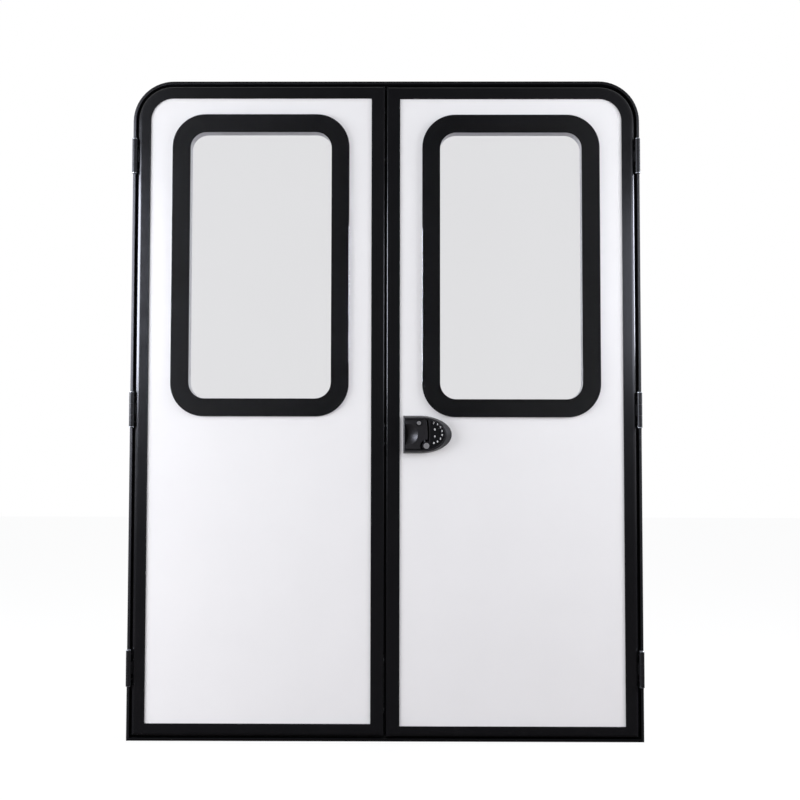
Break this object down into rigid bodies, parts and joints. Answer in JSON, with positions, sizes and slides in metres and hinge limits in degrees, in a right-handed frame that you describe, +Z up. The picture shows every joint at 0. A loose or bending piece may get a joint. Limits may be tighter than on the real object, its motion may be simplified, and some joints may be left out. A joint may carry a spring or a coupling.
{
  "type": "caravan entry door",
  "caption": "Double-leaf caravan entry door in a slim black frame: white panel leaves on barrel hinges, black-bordered windows, paddle lock with keypad.",
  "frame": {"origin": "on the back face of the frame's flange, at the foot of the sill and midway along it", "axes": "+Z up, +Y from the outside towards the cabin, +X to the right as seen from outside"},
  "size_m": [1.33, 0.078, 1.717],
  "materials": {
    "white_skin": "smooth white skin, satin gloss",
    "clear_glass": "clear safety glass",
    "pale_plastic": "pale grey moulding",
    "black_rubber": "matt",
    "black_band": "black print behind glass",
    "black_paint": "black, satin",
    "hinge_black": "black, satin",
    "hinge_pins": "steel, dark",
    "key_metal": "brushed",
    "edge_steel": "brushed",
    "pale_keys": "lit key caps",
    "gloss_black": "smooth black",
    "lock_black": "black moulding, satin"
  },
  "bodies": {
    "frame": {"frame_left_jamb": "black_paint", "frame_right_jamb": "black_paint", "frame_head": "black_paint", "frame_sill": "black_paint", "frame_seal": "black_rubber", "left_hinge_top_frame_half": "hinge_black", "left_hinge_middle_frame_half": "hinge_black", "left_hinge_bottom_frame_half": "hinge_black", "left_hinge_pins": "hinge_pins", "right_hinge_top_frame_half": "hinge_black", "right_hinge_middle_frame_half": "hinge_black", "right_hinge_bottom_frame_half": "hinge_black", "right_hinge_pins": "hinge_pins"},
    "left_leaf": {"left_leaf_panel": "white_skin", "left_leaf_outer_trim": "black_paint", "left_leaf_meeting_trim": "black_paint", "left_leaf_bottom_trim": "black_paint", "left_window_glass": "clear_glass", "left_window_border": "black_band", "left_window_inner_frame": "pale_plastic", "left_hinge_top_leaf_half": "hinge_black", "left_hinge_middle_leaf_half": "hinge_black", "left_hinge_bottom_leaf_half": "hinge_black", "strike_plate": "edge_steel", "flush_bolts": "edge_steel"},
    "right_leaf": {"right_leaf_panel": "white_skin", "right_leaf_outer_trim": "black_paint", "right_leaf_meeting_trim": "black_paint", "right_leaf_bottom_trim": "black_paint", "right_window_glass": "clear_glass", "right_window_border": "black_band", "right_window_inner_frame": "pale_plastic", "right_hinge_top_leaf_half": "hinge_black", "right_hinge_middle_leaf_half": "hinge_black", "right_hinge_bottom_leaf_half": "hinge_black", "lock_housing": "lock_black", "lock_paddle_pin": "edge_steel", "lock_keypad": "gloss_black", "lock_keys": "pale_keys", "bolt_key_cylinder": "key_metal", "lock_inside_plate": "lock_black", "lock_inside_handle": "lock_black", "lock_thumb_turn": "lock_black", "latch_plate": "edge_steel", "latch_bolt": "edge_steel"},
    "paddle": {"lock_paddle": "lock_black", "paddle_key_cylinder": "key_metal"}
  },
  "joints": [
    {"name": "left_leaf_swing", "type": "hinge", "parent": "frame", "child": "left_leaf", "pos_m": [-0.6582, -0.01, 0], "axis": [0, 0, -1], "range_deg": [0, 170]},
    {"name": "right_leaf_swing", "type": "hinge", "parent": "frame", "child": "right_leaf", "pos_m": [0.6582, -0.01, 0], "axis": [0, 0, 1], "range_deg": [0, 170]},
    {"name": "paddle_pull", "type": "hinge", "parent": "right_leaf", "child": "paddle", "pos_m": [0.10105, -0.0195, 0.787], "axis": [0, 0, 1], "range_deg": [0, 25], "stiffness_Nm_per_rad": 0.3}
  ]
}
